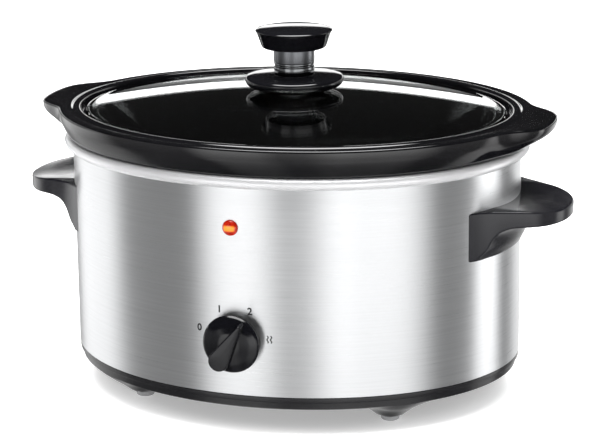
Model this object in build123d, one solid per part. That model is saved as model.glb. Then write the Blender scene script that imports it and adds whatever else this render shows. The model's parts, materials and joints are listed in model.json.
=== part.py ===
from build123d import *
import math
import os

# Slow cooker: brushed oval casing, lift-out stoneware crock, lift-off glass lid.
# Millimetres. Origin on the table under the centre of the oval, +Z up, control knob towards -Y.

# ---- driving dimensions ----
OVAL = 0.82                 # width over length of every oval section
CASING_A = 150.0            # half length of the steel casing
CASING_T = 0.8
CASING_BOTTOM = 26.4
CASING_TOP = 166.8

BEAD_A = 155.7              # half length over the rolled rim of the well
BEAD_BOTTOM = 160.6
BEAD_TOP = 168.0
WELL_T = 1.0
WELL_FLOOR = 46.0           # upper side of the well's floor
WELL_FLOOR_A = 112.0
WELL_MOUTH_A = 140.0

CROCK_GAP = 0.3             # air under the crock's collar
CROCK_TOP = 186.5
RIM_A = 159.0               # half length of the crock's rim without its lugs
COLLAR_FOOT_A = 153.0
LUG_REACH = 15.0
LUG_HALF_WIDTH = 36.0
LUG_UNDERSIDE = 182.0       # where a lug has its full reach
CROCK_BOTTOM = 51.0
CROCK_FLOOR = 59.0
POT_FOOT_A = 109.0
POT_NECK_A = 137.5
POT_INSIDE_FOOT_A = 103.0
POT_MOUTH_A = 131.5
LEDGE_Z = 181.0             # where the lid rests
LEDGE_A = 143.3

LID_A = 140.5
LID_GAP = 0.3
LID_T = 4.0
LID_FLANGE_A = 136.5        # where the flat flange turns up into the dome
LID_APEX = 197.5

TOP_KNOB_BASE_R = 32.5
TOP_KNOB_BASE_TOP = 208.5
TOP_KNOB_STEM_R = 13.3
TOP_KNOB_BAND_R = 13.5
TOP_KNOB_CORE_R = 10.5
TOP_KNOB_BAND_Z = (216.0, 225.5)
TOP_KNOB_CAP_R = 25.4
TOP_KNOB_CAP_FOOT_R = 21.0
TOP_KNOB_CAP_Z = (225.5, 239.0)
LID_BOLT_R = 2.5

BASE_A = 149.8
BASE_COVER_A = 147.8
BASE_SPLIT = 23.0
BASE_FLOOR = 16.0
BASE_FLOOR_T = 2.5
BASE_SHELF_A = 105.0
FOOT_X = 84.4
FOOT_Y = 66.5
FOOT_R = 6.0
FOOT_HEIGHT = 4.0

HANDLE_Z = (105.0, 137.0)
HANDLE_TIP_X = 186.5
HANDLE_ROOT_Y = 57.0
HANDLE_UNDER = 124.7        # under side of the grip
HANDLE_SCREW_Y = 24.0
HANDLE_SCREW_Z = 129.3

KNOB_Z = 62.0               # height of the control knob's axis
KNOB_R = 18.7
KNOB_BACK_R = 16.6
KNOB_BACK = 124.0           # distances in front of the Y = 0 plane
KNOB_FACE = 131.5
KNOB_GRIP_FRONT = 139.0
KNOB_REST_ANGLE = -31.0     # pointing at position 2
KNOB_STEP = 52.0            # between the four positions
SHAFT_R = 3.0
RUNNING_GAP = 0.05
SWITCH_SCREW_X = 12.0

LAMP_X = -1.5
LAMP_Z = 135.0
LENS_R = 5.25
BARREL_R = 4.5

GLAND_Z = 42.0
GLAND_BORE_R = 3.5
GLAND_END = 138.0

HEATER_Z = (82.0, 125.0)
HEATER_T = 2.5
BLANKET_T = 3.0

# ---- helpers ----


def oval_ring(outer_a, inner_a, bottom, top):
    """A straight-walled oval ring."""
    height = top - bottom
    outer = extrude(Ellipse(outer_a, outer_a * OVAL), height)
    inner = extrude(Ellipse(inner_a, inner_a * OVAL), height)
    return Pos(0, 0, bottom) * (outer - inner)


def turned(face):
    """A face drawn with X as radius and Y as height, turned about the Z axis."""
    return revolve(Rot(X=90) * face, Axis.Z)


def oval_turned(face):
    """The same, narrowed across Y to the oval's proportion."""
    return scale(turned(face), by=(1, OVAL, 1))


def polygon(*points):
    return make_face(Polyline(*points, close=True))


def rounded(face, corners):
    """Rounds the corners of a face that lie at the given points, each with its own radius."""
    for (x, y), radius in corners.items():
        nearest = face.vertices().sort_by_distance(Vector(x, y))[0]
        face = fillet(nearest, radius)
    return face


def cylinder_between(radius, low, high):
    return Pos(0, 0, low) * extrude(Circle(radius), high - low)


def tube_between(outer, inner, low, high):
    return Pos(0, 0, low) * extrude(Circle(outer) - Circle(inner), high - low)


def box_between(low, high):
    size = [b - a for a, b in zip(low, high)]
    middle = [(a + b) / 2 for a, b in zip(low, high)]
    return Pos(*middle) * Box(*size)


def facing_front(shape, height, across=0.0):
    """Stands a shape drawn about +Z on the front, so that its +Z points to -Y."""
    return Pos(across, 0, height) * Rot(X=90) * shape


def well_outside(z):
    """Half length of the well's outer wall at a height."""
    rise = (z - WELL_FLOOR) / (BEAD_TOP - WELL_FLOOR)
    return WELL_FLOOR_A + WELL_T + (WELL_MOUTH_A - WELL_FLOOR_A) * rise


def one_solid(shape):
    """The single solid of a part."""
    solids = shape.solids()
    return solids[0] if len(solids) == 1 else shape


# ---- casing and base ----


def casing():
    shell = oval_ring(CASING_A, CASING_A - CASING_T, CASING_BOTTOM, CASING_TOP)
    shell -= facing_front(cylinder_between(4.2, 100, 150), KNOB_Z)
    for side in (-1, 1):
        screw_hole = Pos(side * SWITCH_SCREW_X, 0, 0) * cylinder_between(1.7, 100, 150)
        shell -= facing_front(screw_hole, KNOB_Z)
    shell -= facing_front(cylinder_between(BARREL_R + 0.1, 100, 150), LAMP_Z, LAMP_X)
    shell -= facing_front(cylinder_between(7.4, -150, -100), GLAND_Z)
    for side in (-1, 1):
        for y in (-HANDLE_SCREW_Y, HANDLE_SCREW_Y):
            hole = Rot(Y=90 * side) * cylinder_between(2.2, 135, 155)
            shell -= Pos(0, y, HANDLE_SCREW_Z) * hole
    return shell


def base_ring():
    band = oval_ring(BASE_A, 146.0, BASE_SPLIT, CASING_BOTTOM)
    upstand = oval_ring(148.9, 146.9, CASING_BOTTOM, CASING_BOTTOM + 5)
    shelf = oval_ring(147.0, BASE_SHELF_A, CASING_BOTTOM - 2, CASING_BOTTOM)
    ring = band + upstand + shelf
    for x in (-FOOT_X, FOOT_X):
        for y in (-FOOT_Y, FOOT_Y):
            pillar = tube_between(5.0, 1.7, BASE_FLOOR + BASE_FLOOR_T, CASING_BOTTOM)
            ring -= Pos(x, y, 0) * cylinder_between(1.7, 0, 40)
            ring += Pos(x, y, 0) * pillar
    return ring


def base_cover():
    floor_a = 141.0
    outside = polygon(
        (0, BASE_FLOOR), (floor_a, BASE_FLOOR), (BASE_COVER_A, 18.4),
        (BASE_COVER_A, BASE_SPLIT), (0, BASE_SPLIT),
    )
    inside = polygon(
        (0, BASE_FLOOR + BASE_FLOOR_T), (floor_a - 1, BASE_FLOOR + BASE_FLOOR_T),
        (BASE_COVER_A - 2.5, 20.4), (BASE_COVER_A - 2.5, 30), (0, 30),
    )
    boss_profile = make_face(
        Polyline((0, 18), (31, 18), (30, 16))
        + Spline((30, 16), (16, 9.5), (9.5, FOOT_HEIGHT), tangents=[(-1, -0.25), (-0.5, -1)])
        + Polyline((9.5, FOOT_HEIGHT), (0, FOOT_HEIGHT), (0, 18))
    )
    boss = turned(boss_profile)
    bosses = Part()
    for x in (-FOOT_X, FOOT_X):
        for y in (-FOOT_Y, FOOT_Y):
            bosses += Pos(x, y, 0) * boss
    limit = oval_turned(polygon((0, 0), (137, 0), (floor_a, BASE_FLOOR), (BASE_COVER_A, 18.4), (0, 18.4)))
    cover = oval_turned(outside) + (bosses & limit) - oval_turned(inside)
    for x in (-FOOT_X, FOOT_X):
        for y in (-FOOT_Y, FOOT_Y):
            cover -= Pos(x, y, 0) * cylinder_between(FOOT_R, 0, FOOT_HEIGHT + 1.5)
            cover -= Pos(x, y, 0) * cylinder_between(3.4, 0, 9)
            cover -= Pos(x, y, 0) * cylinder_between(1.9, 0, 30)
    return cover - cylinder_between(2.7, 0, 30)


def foot_pad():
    pad = cylinder_between(FOOT_R, 0, FOOT_HEIGHT + 1.5)
    return fillet(pad.edges().sort_by(Axis.Z)[0], 1.0)


def base_screw():
    return cylinder_between(3.2, 6.5, 9) + cylinder_between(1.7, 9, 24)


def rating_plate():
    return Pos(0, -36, 0) * box_between((-28, -15, BASE_FLOOR - 0.4), (28, 15, BASE_FLOOR))


# ---- heating well ----


def heating_well():
    slope = (WELL_MOUTH_A - WELL_FLOOR_A) / (BEAD_TOP - WELL_FLOOR)
    foot = WELL_FLOOR - WELL_T
    outer_foot = WELL_FLOOR_A + WELL_T - slope * WELL_T
    outside = polygon((0, foot), (outer_foot, foot), (WELL_MOUTH_A + WELL_T, BEAD_TOP), (0, BEAD_TOP))
    inside = polygon((0, WELL_FLOOR), (WELL_FLOOR_A, WELL_FLOOR), (WELL_MOUTH_A, BEAD_TOP), (0, BEAD_TOP))
    outside = rounded(outside, {(outer_foot, foot): 16})
    inside = rounded(inside, {(WELL_FLOOR_A, WELL_FLOOR): 15})
    roll_r = (BEAD_TOP - BEAD_BOTTOM) / 2 - 0.02
    roll = polygon(
        (WELL_MOUTH_A, BEAD_BOTTOM), (BEAD_A, BEAD_BOTTOM), (BEAD_A, BEAD_TOP), (WELL_MOUTH_A, BEAD_TOP),
    )
    roll = rounded(roll, {(BEAD_A, BEAD_BOTTOM): roll_r, (BEAD_A, BEAD_TOP): roll_r})
    hollow_a = WELL_MOUTH_A + WELL_T
    hollow = polygon(
        (hollow_a, BEAD_BOTTOM + WELL_T), (BEAD_A - WELL_T, BEAD_BOTTOM + WELL_T),
        (BEAD_A - WELL_T, BEAD_TOP - WELL_T), (hollow_a, BEAD_TOP - WELL_T),
    )
    corner_r = roll_r - WELL_T
    hollow = rounded(hollow, {
        (BEAD_A - WELL_T, BEAD_BOTTOM + WELL_T): corner_r,
        (BEAD_A - WELL_T, BEAD_TOP - WELL_T): corner_r,
    })
    mouth = polygon(
        (hollow_a, BEAD_BOTTOM - 1), (CASING_A + 1, BEAD_BOTTOM - 1),
        (CASING_A + 1, BEAD_BOTTOM + 2), (hollow_a, BEAD_BOTTOM + 2),
    )
    section = outside - inside + (roll - hollow - mouth)
    return oval_turned(section)


def well_stud():
    return cylinder_between(2.5, BASE_FLOOR - 6, WELL_FLOOR - WELL_T)


def well_nut():
    hexagon = RegularPolygon(4.6, 6)
    return Pos(0, 0, BASE_FLOOR - 5) * extrude(hexagon - Circle(2.5), 4)


def well_washer():
    return tube_between(6, 2.6, BASE_FLOOR - 1, BASE_FLOOR)


def heater_section(inner_gap, thickness, bottom, top):
    low_a = well_outside(bottom) + inner_gap
    high_a = well_outside(top) + inner_gap
    return polygon((low_a, bottom), (low_a + thickness, bottom), (high_a + thickness, top), (high_a, top))


def heater_band():
    band = oval_turned(heater_section(0.2, HEATER_T, *HEATER_Z))
    return band - box_between((-6, 60, 60), (6, 150, 150))


def insulation_blanket():
    gap = HEATER_T + 0.6
    blanket = oval_turned(heater_section(gap, BLANKET_T, HEATER_Z[0] - 2, HEATER_Z[1] + 2))
    return blanket - box_between((-16, 60, 60), (16, 150, 150))


def band_spring():
    coil_r = 2.2
    wire_r = 0.4
    length = 18.0
    path = Helix(pitch=1.5, height=length, radius=coil_r)
    section = Plane(origin=path @ 0, z_dir=path % 0) * Circle(wire_r)
    coil = sweep(section, path=path, is_frenet=True)
    middle = (HEATER_Z[0] + HEATER_Z[1]) / 2
    y = OVAL * (well_outside(middle) + HEATER_T) + 4
    return Pos(-length / 2, y, middle) * Rot(Y=90) * coil


def thermal_fuse():
    body = cylinder_between(2.0, -6, 6)
    leads = cylinder_between(0.5, -14, 14)
    return Pos(-35, 20, 42.4) * Rot(Y=90) * (body + leads)


def fuse_clip():
    hoop = tube_between(2.6, 2.05, -4, 4) & box_between((-3, -3, -4), (0.5, 3, 4))
    wings = box_between((0.0, 2.1, -4), (0.5, 7, 4)) + box_between((0.0, -7, -4), (0.5, -2.1, 4))
    clip = Rot(Y=90) * (hoop + wings)
    return Pos(-35, 20, 42.4) * clip


def earth_tag():
    ring = Circle(5) + Pos(8, 0) * Rectangle(10, 4)
    return Pos(0, 0, 36) * Rot(Z=90) * extrude(ring - Circle(2.5), 0.8)


# ---- handles ----


def handle_outline():
    """Plan of one handle, root inside the casing, reaching along +X."""
    root_x = math.sqrt(1 - (HANDLE_ROOT_Y / (CASING_A * OVAL)) ** 2) * CASING_A
    side = Spline(
        (root_x, HANDLE_ROOT_Y), (143.5, 48.2), (157, 41.2), (171, 33.9), (182, 20.4), (HANDLE_TIP_X, 0),
        tangents=[(0.74, -0.68), (0, -1)],
    )
    inner_x = 120
    back = Polyline(
        (root_x, -HANDLE_ROOT_Y), (inner_x, -HANDLE_ROOT_Y), (inner_x, HANDLE_ROOT_Y), (root_x, HANDLE_ROOT_Y),
    )
    return make_face(side + mirror(side, Plane.XZ) + back)


def finger_scoop():
    """The space under the grip: a hollow that follows the casing round."""
    lip = CASING_A + 1.5
    low = HANDLE_Z[0]
    under_a = CASING_A + 18
    curve = Spline(
        (lip, low), (CASING_A + 4.3, low + 6), (CASING_A + 6.4, low + 12.5), (CASING_A + 9, low + 16.8),
        (under_a, HANDLE_UNDER), tangents=[(0.3, 1), (1, 0)],
    )
    frame_line = Polyline((under_a, HANDLE_UNDER), (230, HANDLE_UNDER), (230, 80), (lip, 80), (lip, low))
    return oval_turned(make_face(curve + frame_line))


def handle():
    block = Pos(0, 0, HANDLE_Z[0]) * extrude(handle_outline(), HANDLE_Z[1] - HANDLE_Z[0])
    block -= extrude(Ellipse(CASING_A, CASING_A * OVAL), 300)
    block -= finger_scoop()
    high = HANDLE_Z[1]
    start = (CASING_A - 18, high - 0.6)
    end = (CASING_A + 42, high - 5.4)
    top_curve = Spline(start, (CASING_A + 10, high - 1.3), (CASING_A + 25, high - 2.6), end)
    above = make_face(top_curve + Polyline(end, (230, high - 5.4), (230, 160), (CASING_A - 18, 160), start))
    block -= oval_turned(above)
    for y in (-HANDLE_SCREW_Y, HANDLE_SCREW_Y):
        block -= Pos(0, y, HANDLE_SCREW_Z) * Rot(Y=90) * cylinder_between(2.0, 140, 164)
    return block


def handle_plate():
    plate = oval_ring(CASING_A - CASING_T - 0.1, CASING_A - CASING_T - 1.6, 121, 137)
    plate &= box_between((100, -36, 100), (160, 36, 150))
    for y in (-HANDLE_SCREW_Y, HANDLE_SCREW_Y):
        plate -= Pos(0, y, HANDLE_SCREW_Z) * Rot(Y=90) * cylinder_between(2.2, 130, 164)
    return plate


def handle_screw():
    head = cylinder_between(3.8, 140.2, 142.6)
    shank = cylinder_between(2.0, 142.6, 162)
    return Rot(Y=90) * (head + shank)


# ---- control ----


def grip_outline(spread, height):
    """Plan of the knob's grip: wide and round at the tail, narrow at the pointer."""
    tail = Pos(0, -10.8) * Circle(6.5 + spread)
    point = Pos(0, 15.4) * Circle(1.2 + spread)
    return Pos(0, 0, height) * make_hull(tail.edges() + point.edges())


def control_knob():
    rim_z = KNOB_FACE - 1.5
    apex = KNOB_FACE + 3.6
    dome = make_face(
        Polyline((0, KNOB_BACK), (KNOB_BACK_R, KNOB_BACK), (KNOB_R, rim_z))
        + Spline((KNOB_R, rim_z), (KNOB_R - 1.6, rim_z + 1.6), (0, apex), tangents=[(0.2, 1), (-1, 0)])
        + Line((0, apex), (0, KNOB_BACK))
    )
    knob = turned(dome)
    grip_foot = KNOB_FACE - 3.5
    grip = loft([grip_outline(0.7, grip_foot), grip_outline(0.0, KNOB_GRIP_FRONT)], ruled=True)
    knob += grip
    hollow = cylinder_between(KNOB_BACK_R - 2, KNOB_BACK - 1, KNOB_FACE - 1.5)
    hub = cylinder_between(5.4, KNOB_BACK + 1, KNOB_FACE)
    shaft_hole = shaft_section_solid(KNOB_BACK - 2, KNOB_FACE + 0.5)
    knob = knob - hollow + hub - shaft_hole
    return facing_front(Rot(Z=KNOB_REST_ANGLE) * knob, KNOB_Z)


def shaft_section_solid(low, high):
    """The D-shaped end of the control shaft between two distances."""
    round_part = cylinder_between(SHAFT_R, low, high)
    return round_part - box_between((-5, 1.9, low - 1), (5, 5, high + 1))


def knob_clip():
    clip = tube_between(5.9, 5.45, KNOB_BACK + 2, KNOB_BACK + 5)
    clip -= box_between((-2, 0, KNOB_BACK), (2, 10, KNOB_BACK + 10))
    return facing_front(Rot(Z=KNOB_REST_ANGLE) * clip, KNOB_Z)


def switch_shaft():
    pivot = cylinder_between(2.0, 104.6, 107)
    body = cylinder_between(SHAFT_R, 107, KNOB_BACK)
    flatted = shaft_section_solid(KNOB_BACK, KNOB_FACE + 0.4)
    return facing_front(Rot(Z=KNOB_REST_ANGLE) * (pivot + body + flatted), KNOB_Z)


def switch_rotor():
    rim = 9.5
    cam = tube_between(rim, SHAFT_R, 109, 116)
    for position in range(4):
        notch = Pos(0, -rim - 0.9, 0) * cylinder_between(1.7, 108, 117)
        cam -= Rot(Z=KNOB_STEP * (1 - position)) * notch
    cam -= Pos(0, rim, 0) * Box(6, 4, 300)
    return facing_front(cam, KNOB_Z)


def switch_housing():
    shell = box_between((-13, -17, 106), (13, 13, 120))
    shell -= box_between((-11, -11, 100), (11, 11, 117.5))
    shell += cylinder_between(3.9, 120, 122)
    shell -= cylinder_between(SHAFT_R + RUNNING_GAP, 100, 130)
    shell -= Pos(0, 0, 112.5) * Rot(X=90) * cylinder_between(1.8, 5, 16)
    return facing_front(shell, KNOB_Z)


def switch_cover():
    plate = box_between((-13, -17, 104.5), (13, 13, 105.9))
    plate -= cylinder_between(2.0 + RUNNING_GAP, 100, 110)
    for x in (-8, 8):
        for y in (-8, 8):
            plate -= box_between((x - 2.5, y - 0.5, 100), (x + 2.5, y + 0.5, 110))
    return facing_front(plate, KNOB_Z)


def switch_terminals():
    blades = []
    for x in (-8, 8):
        for y in (-8, 8):
            blade = box_between((x - 2.4, y - 0.4, 100.5), (x + 2.4, y + 0.4, 108))
            blades.append(facing_front(blade, KNOB_Z))
    return blades


def switch_contacts():
    leaves = []
    for x in (-10.5, 10.1):
        leaf = box_between((x, -6, 109), (x + 0.4, 6, 116))
        leaves.append(facing_front(leaf, KNOB_Z))
    return leaves


def detent_ball():
    return facing_front(Pos(0, -11.25, 112.5) * Sphere(1.6), KNOB_Z)


def detent_spring():
    path = Helix(pitch=0.9, height=2.7, radius=1.2)
    section = Plane(origin=path @ 0, z_dir=path % 0) * Circle(0.2)
    coil = sweep(section, path=path, is_frenet=True)
    return facing_front(Pos(0, -13.0, 112.5) * Rot(X=90) * coil, KNOB_Z)


def switch_bracket():
    plate = box_between((-17, -14, 120), (17, 14, 121)) - cylinder_between(3.95, 100, 130)
    for side in (-1, 1):
        plate -= Pos(side * SWITCH_SCREW_X, 0, 0) * cylinder_between(1.5, 100, 130)
    return facing_front(plate, KNOB_Z)


def switch_screws():
    screws = []
    for side in (-1, 1):
        screw = cylinder_between(2.8, 122.8, 124) + cylinder_between(1.5, 120, 122.8)
        screws.append(facing_front(Pos(side * SWITCH_SCREW_X, 0, 0) * screw, KNOB_Z))
    return screws


# ---- indicator ----


def indicator_lens():
    seat = CASING_A * OVAL + 0.1
    dome = make_face(
        Polyline((0, 114), (BARREL_R, 114), (BARREL_R, seat), (LENS_R, seat), (LENS_R, seat + 0.6))
        + Spline((LENS_R, seat + 0.6), (3.4, seat + 2.4), (0, seat + 3.1), tangents=[(0, 1), (-1, 0)])
        + Line((0, seat + 3.1), (0, 114))
    )
    lens = turned(dome) - cylinder_between(3.5, 110, seat - 1)
    return facing_front(lens, LAMP_Z, LAMP_X)


def neon_lamp():
    bulb = cylinder_between(2.4, 115, 120.5)
    bulb = fillet(bulb.edges().sort_by(Axis.Z)[-1], 2.2)
    for x in (-1, 1):
        bulb += Pos(x, 0, 0) * cylinder_between(0.3, 111.5, 115.5)
    return facing_front(bulb, LAMP_Z, LAMP_X)


def lens_clip():
    return facing_front(tube_between(7, BARREL_R, 121.1, 121.8), LAMP_Z, LAMP_X)


# ---- mains side ----


def cord_gland():
    """Rubber gland for the mains lead; its nose points to the rear."""
    wall = CASING_A * OVAL
    nose = polygon(
        (GLAND_BORE_R, wall - 5), (8.6, wall - 5), (7.3, wall - 1.0), (7.3, wall + 0.1), (10, wall + 0.1),
        (10, wall + 2.6), (7.6, wall + 2.6), (6.2, GLAND_END), (GLAND_BORE_R, GLAND_END),
    )
    return Pos(0, 0, GLAND_Z) * Rot(X=-90) * turned(nose)


def terminal_block():
    block = box_between((-18, 69, BASE_FLOOR + BASE_FLOOR_T), (18, 83, 30))
    for x in (-11, 0, 11):
        block -= Pos(x, 76, 0) * cylinder_between(2.2, 26, 32)
        block -= Pos(x, 76, 24) * Rot(X=90) * cylinder_between(1.6, -10, 10)
    return block


def terminal_screws():
    return [Pos(x, 76, 0) * cylinder_between(2.1, 26, 29.5) for x in (-11, 0, 11)]


def wire(points, bend):
    route = FilletPolyline(*points, radius=bend)
    section = Plane(origin=route @ 0, z_dir=route % 0) * Circle(1.2)
    return sweep(section, path=route)


def live_wire():
    return wire([(-11, 68, 24), (-11, 56, 24), (-40, 20, 26), (-40, -40, 28), (-8, -84, 36), (-8, -98.5, 54)], 10)


def neutral_wire():
    return wire([(11, 68, 24), (11, 52, 24), (60, 30, 26), (108, 10, 32), (136, 0, 50), (131, 0, 90)], 10)


def earth_wire():
    return wire([(0, 68, 24), (0, 46, 24), (0, 28, 34), (0, 14.8, 37.0)], 8)


# ---- crock ----


def rim_outline(half_length, reach, height):
    """Closed curve round the crock: an oval with a lug at each end."""
    steps = 60
    points = []
    for step in range(steps):
        turn = 2 * math.pi * step / steps
        y = half_length * OVAL * math.sin(turn)
        swell = reach * math.exp(-((abs(y) / LUG_HALF_WIDTH) ** 6))
        x = half_length * math.cos(turn)
        x += math.copysign(swell, x) if abs(x) > 1 else 0
        points.append((x, y, height))
    return make_face(Spline(*points, periodic=True))


def crock():
    foot = BEAD_TOP + CROCK_GAP
    levels = [
        (COLLAR_FOOT_A, 1.0, foot),
        (COLLAR_FOOT_A + 1.6, 4.5, foot + 2.5),
        (COLLAR_FOOT_A + 3.2, 8.0, foot + 5.5),
        (RIM_A - 1.4, 11.8, foot + 8.5),
        (RIM_A - 0.4, 14.2, foot + 11.1),
        (RIM_A, LUG_REACH, LUG_UNDERSIDE),
        (RIM_A, LUG_REACH, CROCK_TOP - 1.8),
        (RIM_A - 1.5, LUG_REACH, CROCK_TOP),
    ]
    collar = loft([rim_outline(*level) for level in levels], ruled=True)
    ridge = polygon((LEDGE_A, CROCK_TOP - 4), (151, CROCK_TOP - 1), (149, CROCK_TOP + 0.7), (LEDGE_A, CROCK_TOP + 0.7))
    pot = polygon((0, CROCK_BOTTOM), (POT_FOOT_A, CROCK_BOTTOM), (POT_NECK_A, foot + 1), (0, foot + 1))
    pot = rounded(pot, {(POT_FOOT_A, CROCK_BOTTOM): 14})
    cavity = polygon(
        (0, CROCK_FLOOR), (POT_INSIDE_FOOT_A, CROCK_FLOOR), (POT_MOUTH_A, LEDGE_Z), (LEDGE_A, LEDGE_Z),
        (LEDGE_A, 200), (0, 200),
    )
    cavity = rounded(cavity, {(POT_INSIDE_FOOT_A, CROCK_FLOOR): 14, (POT_MOUTH_A, LEDGE_Z): 2})
    body = collar + oval_turned(ridge) + oval_turned(pot)
    return body - oval_turned(cavity)


# ---- lid ----


def lid_surface(drop):
    """The lid's upper line, or its lower line when dropped by the glass thickness."""
    flange_z = LEDGE_Z + LID_GAP + LID_T - drop
    flange = Line((LID_A, flange_z), (LID_FLANGE_A, flange_z))
    dome = Spline((LID_FLANGE_A, flange_z), (0, LID_APEX - drop), tangents=[(-1, 0.19), (-1, 0)])
    return flange + dome


def lid_glass():
    low = LEDGE_Z + LID_GAP
    edge = Line((LID_A, low), (LID_A, low + LID_T))
    axis = Line((0, LID_APEX - LID_T), (0, LID_APEX))
    section = make_face(lid_surface(0) + lid_surface(LID_T) + edge + axis)
    section = rounded(section, {(LID_A, low): 1.2, (LID_A, low + LID_T): 1.6})
    return oval_turned(section) - cylinder_between(LID_BOLT_R + 0.5, 150, 250)


def lid_knob_base():
    top = TOP_KNOB_BASE_TOP
    seat = LID_APEX + 0.4
    section = polygon(
        (LID_BOLT_R, seat + 0.8), (12.5, seat + 0.8), (12.5, seat), (18, seat), (TOP_KNOB_BASE_R - 0.6, 206.4),
        (TOP_KNOB_BASE_R, 207.2), (TOP_KNOB_BASE_R - 0.5, 208.1), (TOP_KNOB_BASE_R - 2.5, top), (LID_BOLT_R, top),
    )
    return turned(section)


def lid_knob_stem():
    collar = tube_between(TOP_KNOB_STEM_R, LID_BOLT_R, TOP_KNOB_BASE_TOP, TOP_KNOB_BAND_Z[0])
    core = tube_between(TOP_KNOB_CORE_R, LID_BOLT_R, TOP_KNOB_BAND_Z[0], TOP_KNOB_BAND_Z[1])
    return collar + core


def lid_knob_band():
    return tube_between(TOP_KNOB_BAND_R, TOP_KNOB_CORE_R, *TOP_KNOB_BAND_Z)


def lid_knob_cap():
    low, high = TOP_KNOB_CAP_Z
    section = polygon(
        (4, low), (TOP_KNOB_CAP_FOOT_R, low), (TOP_KNOB_CAP_R, high - 1.8), (TOP_KNOB_CAP_R - 1.2, high - 0.4),
        (0, high), (0, low + 9.5), (4, low + 9.5),
    )
    section = rounded(section, {(TOP_KNOB_CAP_FOOT_R, low): 2.4})
    return turned(section)


def lid_knob_insert():
    low = TOP_KNOB_CAP_Z[0]
    return tube_between(4, LID_BOLT_R, low, low + 9.5)


def lid_bolt():
    under_head = LID_APEX - LID_T - 1.2
    return cylinder_between(5, under_head - 3, under_head) + cylinder_between(LID_BOLT_R, under_head, 234)


def lid_upper_washer():
    return tube_between(12, LID_BOLT_R + 0.4, LID_APEX, LID_APEX + 1.2)


def lid_lower_washer():
    low = LID_APEX - LID_T - 1.2
    return tube_between(9, LID_BOLT_R + 0.2, low, low + 1.1)


# ---- writing ----


def at_feet(shape):
    places = {}
    for y, row in ((-FOOT_Y, "front"), (FOOT_Y, "rear")):
        for x, side in ((-FOOT_X, "left"), (FOOT_X, "right")):
            places[f"foot_pad_{row}_{side}"] = Pos(x, y, 0) * shape
    return places


def all_nodes():
    nodes = {
        "casing": casing(),
        "heating_well": heating_well(),
        "base_ring": base_ring(),
        "base_cover": base_cover(),
        "base_screws": list(at_feet(base_screw()).values()),
        "rating_plate": rating_plate(),
        "well_stud": well_stud(),
        "well_nut": well_nut(),
        "well_washer": well_washer(),
        "heater_band": heater_band(),
        "insulation_blanket": insulation_blanket(),
        "band_spring": band_spring(),
        "thermal_fuse": thermal_fuse(),
        "fuse_clip": fuse_clip(),
        "earth_tag": earth_tag(),
        "control_knob": control_knob(),
        "knob_clip": knob_clip(),
        "switch_shaft": switch_shaft(),
        "switch_rotor": switch_rotor(),
        "switch_housing": switch_housing(),
        "switch_cover": switch_cover(),
        "switch_terminals": switch_terminals(),
        "switch_contacts": switch_contacts(),
        "detent_ball": detent_ball(),
        "detent_spring": detent_spring(),
        "switch_bracket": switch_bracket(),
        "switch_screws": switch_screws(),
        "indicator_lens": indicator_lens(),
        "neon_lamp": neon_lamp(),
        "lens_clip": lens_clip(),
        "cord_gland": cord_gland(),
        "terminal_block": terminal_block(),
        "terminal_screws": terminal_screws(),
        "live_wire": live_wire(),
        "neutral_wire": neutral_wire(),
        "earth_wire": earth_wire(),
        "crock": crock(),
        "lid_glass": lid_glass(),
        "lid_knob_base": lid_knob_base(),
        "lid_knob_stem": lid_knob_stem(),
        "lid_knob_band": lid_knob_band(),
        "lid_knob_cap": lid_knob_cap(),
        "lid_knob_insert": lid_knob_insert(),
        "lid_bolt": lid_bolt(),
        "lid_upper_washer": lid_upper_washer(),
        "lid_lower_washer": lid_lower_washer(),
    }
    nodes.update(at_feet(foot_pad()))
    right = handle()
    plate = handle_plate()
    screws = [Pos(0, y, HANDLE_SCREW_Z) * handle_screw() for y in (-HANDLE_SCREW_Y, HANDLE_SCREW_Y)]
    turn = Rot(Z=180)
    nodes["handle_right"] = right
    nodes["handle_left"] = turn * right
    nodes["handle_plate_right"] = plate
    nodes["handle_plate_left"] = turn * plate
    nodes["handle_screws"] = screws + [turn * screw for screw in screws]
    return nodes


def write(nodes):
    os.makedirs("parts", exist_ok=True)
    for name, shape in nodes.items():
        if isinstance(shape, list):
            shape = Compound(children=[one_solid(piece) for piece in shape])
        else:
            shape = one_solid(shape)
        export_step(shape, f"parts/{name}.step")


write(all_nodes())
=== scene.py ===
"""Slow cooker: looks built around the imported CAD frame.

Shapes are drawn in millimetres, and MM turns them into Blender's metres.
"""

import json
import math

import bmesh
import bpy
from mathutils import Matrix, Vector


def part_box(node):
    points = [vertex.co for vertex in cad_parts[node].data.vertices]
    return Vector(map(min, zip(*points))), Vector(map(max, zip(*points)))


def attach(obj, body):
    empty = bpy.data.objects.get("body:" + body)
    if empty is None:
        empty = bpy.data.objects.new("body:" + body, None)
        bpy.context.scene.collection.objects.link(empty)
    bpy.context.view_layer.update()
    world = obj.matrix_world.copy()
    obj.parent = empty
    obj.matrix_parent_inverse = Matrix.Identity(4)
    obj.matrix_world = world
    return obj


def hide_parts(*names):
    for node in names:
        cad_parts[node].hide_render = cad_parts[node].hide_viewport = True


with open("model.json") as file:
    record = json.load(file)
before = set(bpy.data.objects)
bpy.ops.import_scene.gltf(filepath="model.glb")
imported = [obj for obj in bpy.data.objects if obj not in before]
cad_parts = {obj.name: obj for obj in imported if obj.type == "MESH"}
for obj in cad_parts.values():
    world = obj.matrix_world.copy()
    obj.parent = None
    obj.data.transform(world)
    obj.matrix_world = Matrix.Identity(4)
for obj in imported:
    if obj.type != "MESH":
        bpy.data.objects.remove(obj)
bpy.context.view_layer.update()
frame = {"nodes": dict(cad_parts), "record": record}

MM = 0.001
OVAL = 0.82                 # width over length of every oval section
AROUND = 256                # steps round a large oval
AROUND_SMALL = 96           # steps round a small turned piece

# Places read from the frame, in millimetres.


def span_mm(node):
    low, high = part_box(node)
    return low / MM, high / MM


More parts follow.
